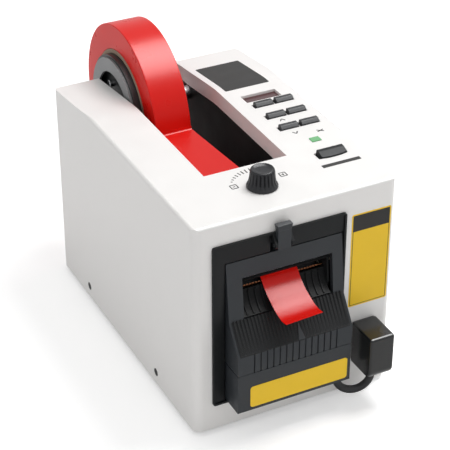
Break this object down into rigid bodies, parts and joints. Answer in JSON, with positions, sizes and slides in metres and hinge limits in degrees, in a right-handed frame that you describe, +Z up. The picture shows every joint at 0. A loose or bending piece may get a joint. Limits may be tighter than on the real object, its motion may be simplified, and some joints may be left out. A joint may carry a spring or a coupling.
{
  "type": "electric tape dispenser",
  "caption": "White desk tape dispenser with an open well for a tape reel, a key panel and dial on top, and a removable black feed and cutter unit at the front that pushes out the cut tape.",
  "frame": {"origin": "on the floor under the middle of the object, halfway between the tip of the tape in front and the roll at the rear", "axes": "+X to the right seen from the front, +Y to the rear, +Z up"},
  "size_m": [0.14, 0.281, 0.191],
  "materials": {
    "white_paint": "semi-gloss paint",
    "zinc_steel": "plain",
    "bright_steel": "bright",
    "rubber": "matte",
    "black_plastic": "fine texture",
    "dark_plastic": "satin",
    "key_plastic": "satin",
    "grey_plastic": "satin",
    "red_tape": "gloss",
    "core_board": "plain",
    "circuit_board": "satin",
    "red_window": "gloss",
    "green_light": "gloss",
    "gear_plastic": "satin",
    "brass": "plain",
    "copper_comb": "plain",
    "blade_steel": "ground"
  },
  "bodies": {
    "housing": {"housing_cover": "white_paint", "base_plate": "zinc_steel", "rubber_feet": "rubber", "case_screws": "black_plastic", "tape_chassis": "black_plastic", "front_bezel": "black_plastic", "latch_pin": "bright_steel", "reel_axle": "bright_steel", "guide_shaft": "bright_steel", "tape_web": "red_tape", "unit_rails": "zinc_steel", "control_board": "circuit_board", "key_board": "circuit_board", "display_window": "red_window", "power_led": "green_light", "dial_pot": "bright_steel", "power_inlet": "black_plastic", "unit_socket": "black_plastic"},
    "reel": {"reel_hub": "black_plastic", "hub_disc": "grey_plastic", "tape_core": "core_board", "tape_roll": "red_tape"},
    "guide": {"guide_roller": "black_plastic"},
    "latch": {"release_latch": "dark_plastic"},
    "dial": {"dial_knob": "key_plastic", "dial_shaft": "bright_steel"},
    "feed_unit": {"unit_shell": "dark_plastic", "unit_lower_cover": "dark_plastic", "unit_back": "dark_plastic", "plate_left": "zinc_steel", "plate_right": "zinc_steel", "blade_holder": "black_plastic", "fixed_blade": "blade_steel", "stripper_comb": "copper_comb", "tape_chute": "black_plastic", "tape_strip": "red_tape", "tape_tail": "red_tape", "feed_motor": "zinc_steel", "cutter_motor": "zinc_steel", "tape_sensor": "black_plastic", "plug_lead": "rubber"},
    "feed": {"feed_roller": "rubber", "feed_shaft": "bright_steel", "feed_gear": "gear_plastic"},
    "pinch": {"pinch_roller": "rubber", "pinch_shaft": "bright_steel"},
    "pinion": {"motor_pinion": "brass"},
    "crank": {"cutter_crank": "zinc_steel"},
    "blade": {"blade_carrier": "dark_plastic", "moving_blade": "blade_steel"},
    "plug": {"plug_body": "dark_plastic", "plug_shell": "bright_steel"},
    "key_1_body": {"key_1": "key_plastic"},
    "key_2_body": {"key_2": "key_plastic"},
    "key_3_body": {"key_3": "key_plastic"},
    "key_4_body": {"key_4": "key_plastic"},
    "key_5_body": {"key_5": "key_plastic"},
    "key_6_body": {"key_6": "key_plastic"},
    "auto_key_body": {"auto_key": "key_plastic"}
  },
  "joints": [
    {"name": "reel_spin", "type": "hinge", "parent": "housing", "child": "reel", "pos_m": [-0.0171, 0.082, 0.1325], "axis": [1, 0, 0], "continuous": true},
    {"name": "guide_spin", "type": "hinge", "parent": "housing", "child": "guide", "pos_m": [-0.0076, -0.07192, 0.13209], "axis": [1, 0, 0], "continuous": true},
    {"name": "unit_slide", "type": "slide", "parent": "housing", "child": "feed_unit", "axis": [0, -1, 0], "range_m": [0, 0.06]},
    {"name": "feed_spin", "type": "hinge", "parent": "feed_unit", "child": "feed", "pos_m": [-0.0086, -0.0932, 0.10685], "axis": [1, 0, 0], "continuous": true},
    {"name": "pinch_spin", "type": "hinge", "parent": "feed_unit", "child": "pinch", "pos_m": [-0.0086, -0.10204, 0.11569], "axis": [1, 0, 0], "continuous": true},
    {"name": "pinion_spin", "type": "hinge", "parent": "feed_unit", "child": "pinion", "pos_m": [0.026, -0.08116, 0.08965], "axis": [1, 0, 0], "continuous": true},
    {"name": "blade_slide", "type": "slide", "parent": "feed_unit", "child": "blade", "axis": [0, -0.7071, 0.7071], "range_m": [0, 0.00574]},
    {"name": "crank_turn", "type": "hinge", "parent": "feed_unit", "child": "crank", "pos_m": [-0.0406, -0.08903, 0.07934], "axis": [1, 0, 0], "range_deg": [0, 90]},
    {"name": "latch_turn", "type": "hinge", "parent": "housing", "child": "latch", "pos_m": [-0.0121, -0.1192, 0.132], "axis": [1, 0, 0], "range_deg": [0, 12], "stiffness_Nm_per_rad": 0.05, "springref_deg": -5.73},
    {"name": "dial_turn", "type": "hinge", "parent": "housing", "child": "dial", "pos_m": [-0.01, -0.0875, 0.153], "axis": [0, 0, 1], "range_deg": [-150, 150]},
    {"name": "key_1_press", "type": "slide", "parent": "housing", "child": "key_1_body", "axis": [0, 0, -1], "range_m": [0, 0.0012], "stiffness_N_per_m": 500, "springref_m": -0.0005},
    {"name": "key_2_press", "type": "slide", "parent": "housing", "child": "key_2_body", "axis": [0, 0, -1], "range_m": [0, 0.0012], "stiffness_N_per_m": 500, "springref_m": -0.0005},
    {"name": "key_3_press", "type": "slide", "parent": "housing", "child": "key_3_body", "axis": [0, 0, -1], "range_m": [0, 0.0012], "stiffness_N_per_m": 500, "springref_m": -0.0005},
    {"name": "key_4_press", "type": "slide", "parent": "housing", "child": "key_4_body", "axis": [0, 0, -1], "range_m": [0, 0.0012], "stiffness_N_per_m": 500, "springref_m": -0.0005},
    {"name": "key_5_press", "type": "slide", "parent": "housing", "child": "key_5_body", "axis": [0, 0, -1], "range_m": [0, 0.0012], "stiffness_N_per_m": 500, "springref_m": -0.0005},
    {"name": "key_6_press", "type": "slide", "parent": "housing", "child": "key_6_body", "axis": [0, 0, -1], "range_m": [0, 0.0012], "stiffness_N_per_m": 500, "springref_m": -0.0005},
    {"name": "auto_key_press", "type": "slide", "parent": "housing", "child": "auto_key_body", "axis": [0, 0, -1], "range_m": [0, 0.0012], "stiffness_N_per_m": 500, "springref_m": -0.0005},
    {"name": "plug_pull", "type": "slide", "parent": "feed_unit", "child": "plug", "axis": [0, -1, 0], "range_m": [0, 0.012]}
  ],
  "couplings": [
    {"joint": "guide_spin", "follows": "reel_spin", "ratio": 13},
    {"joint": "feed_spin", "follows": "reel_spin", "ratio": 7.8},
    {"joint": "pinch_spin", "follows": "reel_spin", "ratio": -13},
    {"joint": "pinion_spin", "follows": "reel_spin", "ratio": -15.6},
    {"joint": "crank_turn", "follows": "blade_slide", "rad_per_m": 213}
  ]
}
